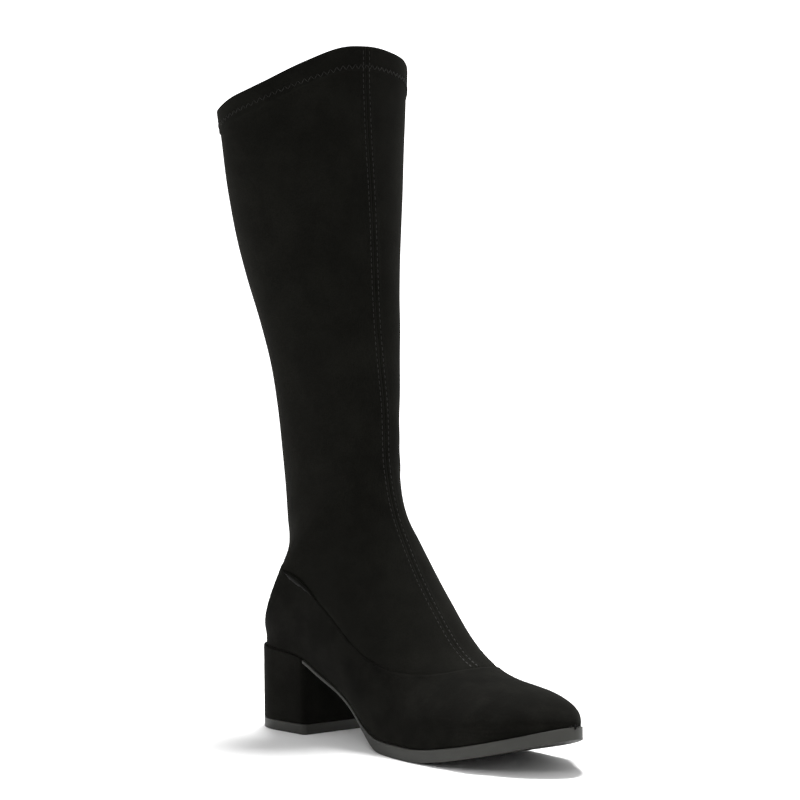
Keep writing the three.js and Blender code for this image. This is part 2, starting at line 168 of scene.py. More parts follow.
def along(rows, column, share):
    """Smooth value of a column at a share that the rows give first."""
    i = 0
    while i < len(rows) - 2 and rows[i + 1][0] < share:
        i += 1
    b, c = rows[i], rows[i + 1]
    a, d = rows[max(i - 1, 0)], rows[min(i + 2, len(rows) - 1)]
    span = c[0] - b[0]
    ab, bc, cd = b[column] - a[column], c[column] - b[column], d[column] - c[column]
    slope_b = 0.0 if ab * bc <= 0 else span * (ab + bc) / (c[0] - a[0])
    slope_c = 0.0 if bc * cd <= 0 else span * (bc + cd) / (d[0] - b[0])
    return blend(b[column], c[column], slope_b, slope_c, min(max((share - b[0]) / span, 0.0), 1.0))


def half_width(x, side, inset):
    """Half width of the sole's outline on its outer side, 1, or its inner side, 2."""
    heel = min(max((HEEL_ROUND - x) / (HEEL_ROUND - inset), 0.0), 1.0)
    toe = min(max((TOE_ROUND - SOLE_LENGTH + x) / (TOE_ROUND - inset), 0.0), 1.0)
    across = along(sole_outline, side, x / SOLE_LENGTH) - inset
    return across * math.sqrt((1 - heel ** 2) * (1 - toe ** 2))


def swing(x):
    """How far the sole's line of centres swings to the inner side."""
    return along(sole_outline, 3, x / SOLE_LENGTH)


def sole_top(x):
    """Height of the sole's top, on which the foot part stands."""
    share = min(max(x / SOLE_LENGTH, 0.0), 1.0)
    toe = max((share - SPRING_START) / (1 - SPRING_START), 0.0)
    return TREAD + (HEEL_HEIGHT - TREAD) * along(arch, 1, share) + TOE_SPRING * toe ** SPRING_BEND


def above_top_line(point):
    """How far a point lies above the top line."""
    height = TREAD + (HEEL_HEIGHT + COUNTER_HEIGHT - TREAD) * along(top_line, 1, point.x / SOLE_LENGTH)
    return point.z - height


# Back x and z, front x and z, half widths, widest, crown and tail of every section, in mm
sections = []
for at, front, rise, out, inn, widest, crown in foot_sections:
    x = SOLE_EDGE + at * (SOLE_LENGTH - 2 * SOLE_EDGE)
    top = sole_top(x) + rise * INSTEP_RISE
    sections.append((x, sole_top(x), front * SOLE_LENGTH, top, out * BALL, inn * BALL, widest, crown, 2.0))
leg_tables = (
    (ankle_sections, ANKLE_DEPTH, ANKLE_WIDTH),
    (calf_sections, COLLAR_DEPTH, COLLAR_WIDTH),
)
for rows, deep, broad in leg_tables:
    for mid, depth, wide, back, front, widest, crown, tail in rows:
        x, reach, half = mid * SOLE_LENGTH, depth * deep / 2, wide * broad / 2
        low, high = HEEL_HEIGHT + back * LEG_RISE, HEEL_HEIGHT + front * LEG_RISE
        sections.append((x - reach, low, x + reach, high, half, half, widest, crown, tail))
SEAT_PLACE = len(foot_sections) - 1
LAST_PLACE = len(sections) - 1
WIDEST_CLIMB = 0.4


def skin(place, turn):
    """A point of the boot's form in millimetres from the back of the heel. place runs from 0 at
    the toe to LAST_PLACE above the collar, and turn from -1 at a section's base on the outer side,
    over its crown at 0, to its base on the inner side at 1."""
    i = min(max(int(place), 0), LAST_PLACE - 1)
    a, b, c, d = (sections[min(max(k, 0), LAST_PLACE)] for k in (i - 1, i, i + 1, i + 2))
    row = [blend(q, r, (r - p) / 2, (s - q) / 2, place - i) for p, q, r, s in zip(a, b, c, d)]
    x, z, front_x, front_z, out, inn, widest, crown, tail = row
    half = out if turn < 0 else inn
    base = middle = 0.0
    if place <= SEAT_PLACE:
        x = min(max(x, SOLE_EDGE), SOLE_LENGTH - SOLE_EDGE)
        z = sole_top(x)
        base = max(half_width(x, 1 if turn < 0 else 2, SOLE_EDGE), 0.0)
        middle = swing(x)
        half = max(half, base)
    climb = 1 - abs(turn)
    lower, upper = 2 / tail, 2 / crown
    if climb < WIDEST_CLIMB:
        start = math.acos(min(base / half, 1.0) ** (1 / lower)) if half > 0 else 0.0
        fall = 1 - climb / WIDEST_CLIMB
        angle = start * fall
        if start > 0:
            fall = math.sin(angle) / math.sin(start)
        across = half * max(math.cos(angle), 0.0) ** lower
        up = widest * (1 - fall)
    else:
        angle = math.pi / 2 * ((climb - WIDEST_CLIMB) / (1 - WIDEST_CLIMB)) ** (1 / upper)
        across = half * max(math.cos(angle), 0.0) ** upper if climb < 1 else 0.0
        up = widest + (1 - widest) * math.sin(angle) ** upper
    across = -across if turn < 0 else across
    return Vector((x + (front_x - x) * up, middle + across, z + (front_z - z) * up))


def placed(point):
    """A point in millimetres from the back of the heel, in the frame's metres."""
    return Vector((heel_back + point.x * MM, point.y * MM, point.z * MM))


def crossing(test, low, high):
    """Where test, rising from below zero at low, passes zero."""
    for _ in range(HALVINGS):
        middle = (low + high) / 2
        if test(middle) > 0:
            high = middle
        else:
            low = middle
    return (low + high) / 2


throat_place = crossing(lambda place: above_top_line(skin(place, 0.0)), 4.0, 10.0)
counter_place = crossing(lambda place: above_top_line(skin(place, 1.0)), SEAT_PLACE, SEAT_PLACE + 7)


def rim_climb(place, side):
    """How far up a section the top line crosses it."""
    return crossing(lambda climb: above_top_line(skin(place, side * (1 - climb))), 0.0, 1.0)


def rim_spot(side, t):
    """Place and climb of the top line, from the throat at 0 to behind the heel at 1."""
    place = throat_place + t * t * (3 - 2 * t) * (counter_place - throat_place)
    return place, 1.0 if t == 0 else 0.0 if t == 1 else rim_climb(place, side)


def rim_point(side, t):
    """Point of the top line, from the throat at 0 to behind the heel at 1."""
    place, climb = rim_spot(side, t)
    return skin(place, side * (1 - climb))


def even_steps(curve, count, fine=240):
    """count + 1 values of a curve's own parameter from 0 to 1, evenly spaced along the curve."""
    points = [curve(i / fine) for i in range(fine + 1)]
    lengths = [0.0]
    for p, q in zip(points, points[1:]):
        lengths.append(lengths[-1] + (q - p).length)
    values = []
    k = 0
    for i in range(count + 1):
        wanted = lengths[-1] * i / count
        while k < fine - 1 and lengths[k + 1] < wanted:
            k += 1
        span = lengths[k + 1] - lengths[k]
        values.append((k + min(max((wanted - lengths[k]) / span if span else 0.0, 0.0), 1.0)) / fine)
    return values


def soft_step(value, start, end):
    """0 up to start, 1 from end on, and a smooth rise between them."""
    t = min(max((value - start) / (end - start), 0.0), 1.0)
    return t * t * (3 - 2 * t)


def near(distance, reach):
    """1 at no distance, falling softly to nearly 0 at twice the reach."""
    return math.exp(-((distance / reach) ** 2))


# Soft troughs, negative, and ridges, positive, in the suede: height, middle, half length, half
# width and the direction in which they run over the surface
CREASE_END = 2.6
creases = [
    (-0.7, (110, -29, 98), 26, 12, (0.6, 0.1, -0.8)),
    (0.4, (126, -33, 70), 22, 11, (0.8, 0.2, -0.5)),
    (-0.4, (137, 8, 97), 18, 7, (0.0, 1.0, 0.2)),
    (-0.4, (122, 0, 120), 20, 7, (0.0, 1.0, 0.0)),
    (0.3, (129, 0, 108), 20, 8, (0.0, 1.0, 0.0)),
    (-0.6, (108, 29, 100), 26, 12, (0.6, -0.1, -0.8)),
    (-0.4, (14, -6, 122), 16, 6, (0.3, 0.9, 0.2)),
    (0.3, (13, -6, 136), 16, 8, (0.3, 0.9, 0.2)),
    (-0.5, (72, -30, 152), 36, 14, (0.3, 0.05, -0.95)),
    (0.4, (54, -34, 190), 36, 15, (0.3, 0.05, -0.95)),
    (-0.5, (66, 31, 160), 36, 14, (0.3, -0.05, -0.95)),
    (0.5, (44, -46, 290), 44, 18, (0.25, 0.0, 0.95)),
    (-0.5, (18, -44, 300), 40, 16, (0.2, 0.1, 0.95)),
    (-0.4, (182, -30, 46), 18, 8, (0.5, -0.75, -0.4)),
    (0.3, (194, -28, 43), 18, 8, (0.5, -0.75, -0.4)),
    (-0.4, (180, 31, 46), 18, 8, (0.5, 0.75, -0.4)),
]


def crease_lift(point):
    """How far the troughs and ridges lift a point of the surface."""
    total = 0.0
    for height, middle, reach, half, run in creases:
        away = point - Vector(middle)
        if away.length < CREASE_END * reach:
            line = Vector(run).normalized()
            lengthwise = away.dot(line)
            crosswise = (away - line * lengthwise).length
            total += height * near(crosswise, half) * near(lengthwise, reach)
    return total


def weld(bm):
    """Joins points that coincide and finds the surface's outward directions."""
    bmesh.ops.remove_doubles(bm, verts=bm.verts, dist=WELD)
    bmesh.ops.recalc_face_normals(bm, faces=bm.faces)
    bm.normal_update()


def finish_mesh(bm, name):
    """A new smooth object from a bmesh, riding on the boot's one body."""
    mesh = bpy.data.meshes.new(name)
    bm.to_mesh(mesh)
    bm.free()
    mesh.shade_smooth()
    piece = bpy.data.objects.new(name, mesh)
    bpy.context.collection.objects.link(piece)
    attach(piece, "root")
    return piece


def thicken(piece, wall):
    """Gives a piece a wall in millimetres, inwards, whose inside has the second material."""
    modifier = piece.modifiers.new("wall", "SOLIDIFY")
    modifier.thickness = wall * MM
    modifier.offset = -1
    modifier.material_offset = 1


half_columns = 144
toe_columns = 42
foot_rows = 54
edge_crowding = 0.14
foot_columns = []
rim_steps = {side: even_steps(lambda t: rim_point(side, t), half_columns, 160) for side in (-1, 1)}
for side in (-1, 1):
    seat_steps = even_steps(lambda t: skin(t * SEAT_PLACE, side), half_columns - toe_columns)
    fan = []
    for i in range(half_columns + 1):
        late = i - toe_columns
        start = (0.0, -late / toe_columns) if late < 0 else (seat_steps[late] * SEAT_PLACE, 0.0)
        end = rim_spot(side, rim_steps[side][i])
        fan.append((side, start, end, skin(end[0], side * (1 - end[1]))))
    foot_columns += fan if side < 0 else fan[::-1][1:]

bm = bmesh.new()
bmesh.ops.create_grid(bm, x_segments=len(foot_columns) - 1, y_segments=foot_rows, size=1)
rim_gap = bm.verts.layers.float.new("rim")
base_gap = bm.verts.layers.float.new("base")
for vert in bm.verts:
    side, start, end, rim = foot_columns[round((vert.co.x + 1) / 2 * (len(foot_columns) - 1))]
    t = (vert.co.y + 1) / 2
    t -= edge_crowding * math.sin(2 * math.pi * t)
    place = start[0] + (end[0] - start[0]) * t
    climb = start[1] + (end[1] - start[1]) * t
    point = skin(place, side * (1 - climb))
    vert[rim_gap] = (point - rim).length
    vert[base_gap] = (point - skin(start[0], side * (1 - start[1]))).length
    vert.co = point
weld(bm)
moved = []
for vert in bm.verts:
    edges = 0.6 * near(vert[rim_gap], 0.9) + near(vert[base_gap], 1.4)
    away = soft_step(min(vert[rim_gap], vert[base_gap]), 1, 12)
    lift = FOOT_PROUD - EDGE_ROUND * edges + crease_lift(vert.co) * away
    moved.append(vert.co + vert.normal * lift)
for vert, point in zip(bm.verts, moved):
    if vert[base_gap] < 6:
        point.z = max(point.z, sole_top(point.x) + 0.05)
    vert.co = placed(point)
foot = finish_mesh(bm, "foot_part")
thicken(foot, FOOT_WALL)
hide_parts("upper")


def new_material(name, roughness, specular):
    """A material with its nodes, its links, its shader and the object's own coordinates."""
    material = bpy.data.materials.new(name)
    material.use_nodes = True
    nodes, links = material.node_tree.nodes, material.node_tree.links
    shader = nodes["Principled BSDF"]
    shader.inputs["Roughness"].default_value = roughness
    shader.inputs["Specular IOR Level"].default_value = specular
    where = nodes.new("ShaderNodeTexCoord").outputs["Object"]
    return material, nodes, links, shader, where


def noise(nodes, links, where, scale, detail=2.0, rough=0.5):
    """Noise in the object's own space."""
    texture = nodes.new("ShaderNodeTexNoise")
    texture.inputs["Scale"].default_value = scale
    texture.inputs["Detail"].default_value = detail
    texture.inputs["Roughness"].default_value = rough
    links.new(where, texture.inputs["Vector"])
    return texture.outputs["Fac"]


def two_tones(nodes, links, source, start, end, dark, light):
    """Colour from dark to light while source goes from start to end."""
    ramp = nodes.new("ShaderNodeValToRGB")
    for stop, place, tone in zip(ramp.color_ramp.elements, (start, end), (dark, light)):
        stop.position = place
        stop.color = (*tone, 1)
    links.new(source, ramp.inputs["Fac"])
    return ramp.outputs["Color"]


def bumped(nodes, links, height, strength, depth, normal=None):
    """A normal bumped by height, depth millimetres deep, on top of another normal."""
    bump = nodes.new("ShaderNodeBump")
    bump.inputs["Strength"].default_value = strength
    bump.inputs["Distance"].default_value = abs(depth) * MM
    bump.invert = depth < 0
    links.new(height, bump.inputs["Height"])
    if normal:
        links.new(normal, bump.inputs["Normal"])
    return bump.outputs["Normal"]


def suede(name, tone, patches, contrast):
    """Black microsuede: a short nap, brushed lighter and darker in patches, with a closed seam
    down the back of the boot."""
    material, nodes, links, shader, where = new_material(name, 0.95, 0.03)

    def spread(source, start, end, low, high):
        node = nodes.new("ShaderNodeMapRange")
        node.interpolation_type = "SMOOTHSTEP"
        for socket, value in zip(("From Min", "From Max", "To Min", "To Max"), (start, end, low, high)):
            node.inputs[socket].default_value = value
        links.new(source, node.inputs["Value"])
        return node.outputs["Result"]

    def calculate(operation, first, second):
        node = nodes.new("ShaderNodeMath")
        node.operation = operation
        for socket, value in zip(node.inputs, (first, second)):
            if isinstance(value, (int, float)):
                socket.default_value = value
            else:
                links.new(value, socket)
        return node.outputs["Value"]

    brushed = spread(noise(nodes, links, where, patches, 3, 0.55), 0.34, 0.68, 1 - contrast, 1 + contrast)
    broad = spread(noise(nodes, links, where, patches / 5), 0.35, 0.65, 0.93, 1.07)
    nap = noise(nodes, links, where, 1300, 3, 0.6)
    fleck = spread(nap, 0.3, 0.7, 0.8, 1.2)
    split = nodes.new("ShaderNodeSeparateXYZ")
    links.new(where, split.inputs["Vector"])
    behind = spread(split.outputs["X"], -0.08, -0.075, 1.0, 0.0)
    beside = spread(calculate("ABSOLUTE", split.outputs["Y"], 0.0), 0.0001, 0.0007, 1.0, 0.0)
    seam = calculate("MULTIPLY", behind, beside)
    shade = calculate("MULTIPLY", calculate("MULTIPLY", brushed, broad), fleck)
    shade = calculate("MULTIPLY", shade, spread(seam, 0.0, 1.0, 1.0, 0.35))
    colour = nodes.new("ShaderNodeVectorMath")
    colour.operation = "SCALE"
    colour.inputs[0].default_value = tone
    links.new(shade, colour.inputs["Scale"])
    links.new(colour.outputs["Vector"], shader.inputs["Base Color"])
    shader.inputs["Sheen Weight"].default_value = 0.022
    shader.inputs["Sheen Roughness"].default_value = 0.45
    shader.inputs["Sheen Tint"].default_value = (0.8, 0.78, 0.7, 1)
    normal = bumped(nodes, links, nap, 0.4, 0.25)
    normal = bumped(nodes, links, noise(nodes, links, where, 4200), 0.3, 0.08, normal)
    normal = bumped(nodes, links, seam, 1.0, -0.4, normal)
    links.new(normal, shader.inputs["Normal"])
    return material


# Painted shade: the foot part's suede is given a darker tone than the heel's cover, which is the same
# suede.
foot_suede_with_painted_shade = suede("foot_suede_with_painted_shade", (0.0045, 0.00445, 0.0037), 64, 0.24)


def cloth(name, dark, light, scale):
    """Plain black cloth with a fine weave."""
    material, nodes, links, shader, where = new_material(name, 0.85, 0.15)
    weave = noise(nodes, links, where, scale, 3)
    links.new(two_tones(nodes, links, weave, 0.3, 0.7, dark, light), shader.inputs["Base Color"])
    links.new(bumped(nodes, links, weave, 0.4, 0.2), shader.inputs["Normal"])
    return material


knit = cloth("lining_knit", (0.003, 0.003, 0.0026), (0.009, 0.009, 0.008), 1800)
foot.data.materials.append(foot_suede_with_painted_shade)
foot.data.materials.append(knit)

# Leg: black stretch microsuede in two panels. The seam in front is pressed open and stitched down
# on both sides, the one behind is closed, and the collar is folded in to form a hem.
LEG_WALL = 0.9
HEM_DEPTH = 15.0
HEM_STEP = 0.7
ROW_APART = 4.8
SEAM_GROOVE = 0.45
ROW_GROOVE = 0.18
BAND_RISE = 0.25
LINE_TUCK = 0.35
EDGE_ROLL = 0.35
ROW_PULL = 0.16
FAR = 99.0
leg_columns = 260
middle_rows = 98
front_crowding = 0.7
collar_crowding = 0.65
line_bend = 8
# Rows of the leg in millimetres above the top line, the first two of them under the foot part, and
# below the collar's edge
above_line = [-3.0, -1.4, 0.0, 0.4, 0.9, 1.5, 2.4, 3.8]
below_collar = [18.5, 16.4, 15.6, 15.0, 14.4, 13.7, 13.0, 12.3, 11.6, 10.8, 10.0, 9.2, 8.2, 6.5, 4.5, 2.7]
below_collar += [1.4, 0.7, 0.3, 0.0]
# How far the collar's edge lies above its mean line at each turn, as worn
collar_trim = [
    (-1.0, 0.0),
    (-0.72, 0.0),
    (-0.6, 1.7),
    (-0.48, 0.7),
    (-0.4, 0.0),
    (-0.25, -0.2),
    (-0.1, 0.8),
    (0.0, 0.1),
    (0.12, 0.3),
    (0.19, 1.6),
    (0.27, 4.0),
    (0.34, 5.4),
    (0.5, 4.4),
    (0.8, 0.0),
    (1.0, 0.0),
]
leg_rows = len(above_line) + middle_rows + len(below_collar) - 1


def collar_height(x):
    """Height of the collar's mean line."""
    back = calf_sections[-1][0] * SOLE_LENGTH - COLLAR_DEPTH / 2
    share = min(max((x - back) / COLLAR_DEPTH, 0.0), 1.0)
    return HEEL_HEIGHT + LEG_RISE - COLLAR_DIP * (1 - share ** 2.6)


def collar_place(turn):
    """Place where a line of constant turn meets the collar."""

    def over_collar(place):
        point = skin(place, turn)
        return point.z - collar_height(point.x) - along(collar_trim, 1, turn)

    return crossing(over_collar, SEAT_PLACE, LAST_PLACE)


def leg_line(around):
    """A line up the leg, as place and turn, from the top line at 0 to the collar at 1. around runs
    from -1 behind on the outer side, over the front seam at 0, to 1 behind on the inner side."""
    side = -1 if around < 0 else 1
    share = abs(around)
    k = min(int(share * half_columns), half_columns - 1)
    steps = rim_steps[side]
    low, climb = rim_spot(side, steps[k] + (steps[k + 1] - steps[k]) * (share * half_columns - k))
    start = side * (1 - climb)
    end = side * share * (1 - collar_crowding + collar_crowding * share)
    high = collar_place(end)

    def spot(up):
        return low + (high - low) * up, start + (end - start) * (1 - (1 - up) ** line_bend)

    return spot


def below_edge(turn, high, drop):
    """Place that lies drop millimetres below the collar's edge."""
    rise = skin(high, turn).z - skin(high - 0.2, turn).z
    return high - 0.2 * drop / rise


def hem_line(turn):
    """How far the zigzag row lies below the collar's edge."""
    return 12.2 - 2.6 * soft_step(-turn, 0.15, 0.45)


def hem_rise(drop):
    """How proud the folded hem stands at a distance below the collar's edge."""
    return HEM_STEP * (1 - soft_step(drop, HEM_DEPTH - 1.4, HEM_DEPTH))


def rise_at_collar(spot):
    """Millimetres that a line of the leg climbs for its whole share, just below the collar."""
    return (skin(*spot(1.0)).z - skin(*spot(0.98)).z) / 0.02


def line_steps(spot):
    """Shares up a line of the leg at which its rows lie."""
    pace = (skin(*spot(0.002)) - skin(*spot(0.0))).length / 0.002
    rise = rise_at_collar(spot)
    lower = [gap / pace for gap in above_line]
    upper = [1 - drop / rise for drop in below_collar]
    first, span = lower[-1], upper[0] - lower[-1]
    middle = even_steps(lambda t: skin(*spot(first + t * span)), middle_rows + 1, 60)
    return lower + [first + t * span for t in middle[1:-1]] + upper


leg_lines = []
for i in range(leg_columns + 1):
    around = 2 * i / leg_columns - 1
    spot = leg_line((1 - front_crowding) * around + front_crowding * around ** 3)
    leg_lines.append([spot(up) for up in line_steps(spot)])
bm = bmesh.new()
bmesh.ops.create_grid(bm, x_segments=leg_columns, y_segments=leg_rows, size=1)
seam_gap = bm.verts.layers.float.new("seam")
line_gap = bm.verts.layers.float.new("line")
edge_gap = bm.verts.layers.float.new("edge")
row_gap = bm.verts.layers.float.new("row")
for vert in bm.verts:
    spots = leg_lines[round((vert.co.x + 1) / 2 * leg_columns)]
    place, turn = spots[round((vert.co.y + 1) / 2 * leg_rows)]
    point = skin(place, turn)
    vert[seam_gap] = (point - skin(place, 0.0)).length if abs(turn) < 0.4 else FAR
    vert[line_gap] = 0.8 * max(above_top_line(point), 0.0)
    vert[edge_gap] = skin(*spots[-1]).z - point.z
    vert[row_gap] = vert[edge_gap] - hem_line(turn)
    vert.co = point
weld(bm)
moved = []
for vert in bm.verts:
    seam, line, drop = vert[seam_gap], vert[line_gap], vert[edge_gap]
    lift = hem_rise(drop) - SEAM_GROOVE * near(seam, 0.5) - ROW_GROOVE * near(seam - ROW_APART / 2, 0.5)
    lift += BAND_RISE * (1 - soft_step(seam, ROW_APART / 2 + 0.8, ROW_APART / 2 + 2.8))
    lift -= LINE_TUCK * near(line, 1.1) + EDGE_ROLL * near(drop, 0.45) + ROW_PULL * near(vert[row_gap], 1.2)
    away = soft_step(line, 1, 12) * soft_step(seam, 2, 14) * soft_step(drop, 24, 40)
    moved.append(vert.co + vert.normal * (lift + crease_lift(vert.co) * away))
for vert, point in zip(bm.verts, moved):
    vert.co = placed(point)
leg = finish_mesh(bm, "stretch_leg")
thicken(leg, LEG_WALL)
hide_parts("shaft")
leg_suede = suede("leg_suede", (0.0053, 0.00525, 0.0043), 50, 0.14)
leg.data.materials.append(leg_suede)
leg.data.materials.append(leg_suede)


# Hem and lining: the collar's suede turned down inside over a flat elastic, and below it a thin
# black knit, both sewn in with the zigzag row.
def inside_band(name, top, bottom, offset, wall, rows):
    """A band inside the leg, from top to bottom millimetres below its edge, or to the top line
    where bottom is None."""
    columns = 160
    lines = []
    for i in range(columns + 1):
        spot = leg_line(2 * i / columns - 1)
        rise = rise_at_collar(spot)
        lines.append((spot, 1 - bottom / rise if bottom else 0.0, 1 - top / rise))
    bm = bmesh.new()
    bmesh.ops.create_grid(bm, x_segments=columns, y_segments=rows, size=1)
    for vert in bm.verts:
        spot, low, high = lines[round((vert.co.x + 1) / 2 * columns)]
        vert.co = skin(*spot(low + (high - low) * (vert.co.y + 1) / 2))
    weld(bm)
    moved = [placed(vert.co - vert.normal * offset) for vert in bm.verts]
    for vert, point in zip(bm.verts, moved):
        vert.co = point
    piece = finish_mesh(bm, name)
    thicken(piece, wall)
    return piece


hem_fold = inside_band("hem_fold", 0.5, HEM_DEPTH + 5, 0.15, 1.1, 8)
hem_fold.data.materials.append(leg_suede)
lining = inside_band("leg_lining", HEM_DEPTH, None, 1.15, 0.4, 110)
lining.data.materials.append(knit)

# Stitches: dark polyester thread. Two lockstitched rows run down the front seam and are stitched
# back on themselves at the throat, and a zigzag row holds the hem.
STITCH = 3.4
THREAD = 0.46
ZIGZAG = 2.8
BARTACK_STITCHES = 3
seam_parts = 1200
zigzag_corners = 172
thread, nodes, links, shader, where = new_material("thread", 0.55, 0.25)
twist = noise(nodes, links, where, 2500)
dark_thread, light_thread = (0.0075, 0.0073, 0.0062), (0.018, 0.0173, 0.015)
links.new(two_tones(nodes, links, twist, 0.3, 0.7, dark_thread, light_thread), shader.inputs["Base Color"])


def on_leg(place, turn, raised):
    """A point raised above the leg's skin, and the skin's outward direction there."""
    up = skin(place + 0.03, turn) - skin(place - 0.03, turn)
    across = skin(place, turn + 0.004) - skin(place, turn - 0.004)
    normal = up.cross(across).normalized()
    point = skin(place, turn)
    if normal.dot(point - skin(place, turn + (0.9 if turn < 0 else -0.9))) < 0:
        normal = -normal
    return point + normal * raised, normal


def add_stitch(bm, start, end, normal, width):
    """One stitch lying from start to end."""
    line = (end - start).normalized()
    across = normal.cross(line).normalized()
    axes = Matrix((line, across, line.cross(across))).transposed().to_4x4()
    size = Matrix.Diagonal(((end - start).length / 2 * MM, width / 2 * MM, width / 2 * MM, 1))
    matrix = Matrix.Translation(placed((start + end) / 2)) @ axes @ size
    bmesh.ops.create_uvsphere(bm, u_segments=8, v_segments=4, radius=1, matrix=matrix)


def turn_beside_seam(place, apart):
    """The turn that lies apart millimetres from the front seam."""
    ridge = skin(place, 0.0)
    sign = 1 if apart > 0 else -1
    return sign * crossing(lambda t: (skin(place, sign * t) - ridge).length - abs(apart), 0.0, 0.25)


seam_low, seam_high = throat_place + 0.06, collar_place(0.0)
seam_edge = skin(seam_high, 0.0).z
seam_points = [skin(seam_low + (seam_high - seam_low) * i / 400, 0.0) for i in range(401)]
seam_length = sum((q - p).length for p, q in zip(seam_points, seam_points[1:]))
seam_steps = even_steps(lambda t: skin(seam_low + t * (seam_high - seam_low), 0.0), seam_parts, 400)


def seam_place(length):
    """Place on the front seam at a length along it from the throat."""
    step = length / seam_length * seam_parts
    k = min(int(step), seam_parts - 1)
    t = seam_steps[k] + (seam_steps[k + 1] - seam_steps[k]) * min(step - k, 1.0)
    return seam_low + t * (seam_high - seam_low)


bm = bmesh.new()
for k in range(int(seam_length / STITCH)):
    for side in (-1, 1):
        backstitched = k < BARTACK_STITCHES
        tips = []
        for share in (k + 0.1, k + (0.95 if backstitched else 0.82)):
            place = seam_place(share * STITCH)
            turn = turn_beside_seam(place, side * ROW_APART / 2)
            raised, normal = on_leg(place, turn, 0.14 + hem_rise(seam_edge - skin(place, turn).z))
            tips.append(raised)
        add_stitch(bm, tips[0], tips[1], normal, THREAD * (1.5 if backstitched else 1.0))
around = even_steps(lambda t: skin(collar_place(2 * t - 1), 2 * t - 1), zigzag_corners, zigzag_corners)
corners = []
for k, t in enumerate(around[:-1]):
    turn = 2 * t - 1
    place = below_edge(turn, collar_place(turn), hem_line(turn) + (ZIGZAG / 2 if k % 2 else -ZIGZAG / 2))
    corners.append(on_leg(place, turn, HEM_STEP + 0.05))
for (start, normal), (end, _) in zip(corners, corners[1:] + corners[:1]):
    add_stitch(bm, start, end, normal, THREAD * 0.8)
stitches = finish_mesh(bm, "stitches")
stitches.data.materials.append(thread)

# Outsole: one moulding of dark grey rubber, thin under the arch and thick under the ball, with
# fine ribs across its tread. It is glued under the foot part.
SHANK = 2.0
HEEL_LENGTH = 58.0
HEEL_LEAN = 3.5
RIB = 2.2
RIB_DEPTH = 0.35
TREAD_START = 132.0
RIBS_START = 134.0
RIBS_END = 268.0


def rubber_slab(stations, side_at, low_at, high_at, round_over, round_below):
    """A slab between two heights at stations along it, with side_at(x, y) giving its width."""
    bm = bmesh.new()
    bmesh.ops.create_grid(bm, x_segments=len(stations) - 1, y_segments=14, size=1)
    for vert in bm.verts:
        x = stations[round((vert.co.x + 1) / 2 * (len(stations) - 1))]
        vert.co = Vector((x, side_at(x, vert.co.y), low_at(x)))
    bmesh.ops.remove_doubles(bm, verts=bm.verts, dist=WELD)
    every = bm.verts[:] + bm.edges[:] + bm.faces[:]
    grown = bmesh.ops.extrude_face_region(bm, geom=every, use_keep_orig=True)["geom"]
    upper = {part for part in grown if isinstance(part, bmesh.types.BMVert)}
    for vert in upper:
        vert.co.z = high_at(vert.co.x)
    bmesh.ops.recalc_face_normals(bm, faces=bm.faces)
    rims = []
    for edge in bm.edges:
        low_edge = edge.verts[0] not in upper and edge.verts[1] not in upper
        if edge.calc_face_angle(0) > math.radians(50) and (round_below or not low_edge):
            rims.append(edge)
    bmesh.ops.bevel(bm, geom=rims, offset=round_over, segments=3, profile=0.5, affect="EDGES", material=-1)
    for edge in bm.edges:
        edge.smooth = edge.calc_face_angle(0) < math.radians(40)
    return bm


def weighted_normals(piece):
    """Keeps the flat faces beside a bevel flat in shading."""
    piece.modifiers.new("normals", "WEIGHTED_NORMAL").keep_sharp = True


def ribs(x, start, end):
    """How far the tread is cut up between two places along it."""
    fade = soft_step(x, start, start + 6) * (1 - soft_step(x, end - 6, end))
    return RIB_DEPTH * (0.5 - 0.5 * math.cos(2 * math.pi * (x - start) / RIB)) * fade


def sole_thickness(x):
    """Thin shank under the arch, thick tread from the ball on."""
    return SHANK + (TREAD - SHANK) * soft_step(x / SOLE_LENGTH, 0.38, 0.53)


def sole_side(x, y):
    """Where a line at share y across the sole, from -1 outside to 1 inside, lies at x."""
    return swing(x) + y * half_width(x, 1 if y < 0 else 2, 0.0)


def leaned(x, z):
    """The heel's front face leans back as it rises."""
    return x * (1 - HEEL_LEAN / HEEL_LENGTH * z / HEEL_HEIGHT)


breast = leaned(HEEL_LENGTH, sole_top(HEEL_LENGTH)) + GAP
sole_stations = [breast + (TREAD_START - breast) * i / 40 for i in range(40)]
sole_stations += [TREAD_START + RIB / 4 * i for i in range(236)]
toe_stretch = SOLE_LENGTH - sole_stations[-1]
sole_stations += [SOLE_LENGTH - toe_stretch * (1 - i / 28) ** 2 for i in range(1, 29)]
bm = rubber_slab(
    sole_stations,
    sole_side,
    lambda x: sole_top(x) - sole_thickness(x) + ribs(x, RIBS_START, RIBS_END),
    sole_top,
    0.4,
    False,
)
for vert in bm.verts:
    vert.co = placed(vert.co)
outsole = finish_mesh(bm, "rubber_outsole")
weighted_normals(outsole)
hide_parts("outsole")


def rubber(name, tone):
    """Matt moulded rubber with a fine grain and faint scuffs."""
    material, nodes, links, shader, where = new_material(name, 0.5, 0.3)
    cloud = noise(nodes, links, where, 60, 6)
    dark, light = ([channel * factor for channel in tone] for factor in (0.8, 1.25))
    links.new(two_tones(nodes, links, cloud, 0.3, 0.75, dark, light), shader.inputs["Base Color"])
    rough = nodes.new("ShaderNodeMapRange")
    rough.inputs["To Min"].default_value = 0.42
    rough.inputs["To Max"].default_value = 0.68
    links.new(cloud, rough.inputs["Value"])
    links.new(rough.outputs["Result"], shader.inputs["Roughness"])
    grain = noise(nodes, links, where, 900, 4)
    links.new(bumped(nodes, links, grain, 0.2, 0.2), shader.inputs["Normal"])
    return material


sole_rubber = rubber("sole_rubber", (0.0225, 0.0225, 0.0193))
outsole.data.materials.append(sole_rubber)

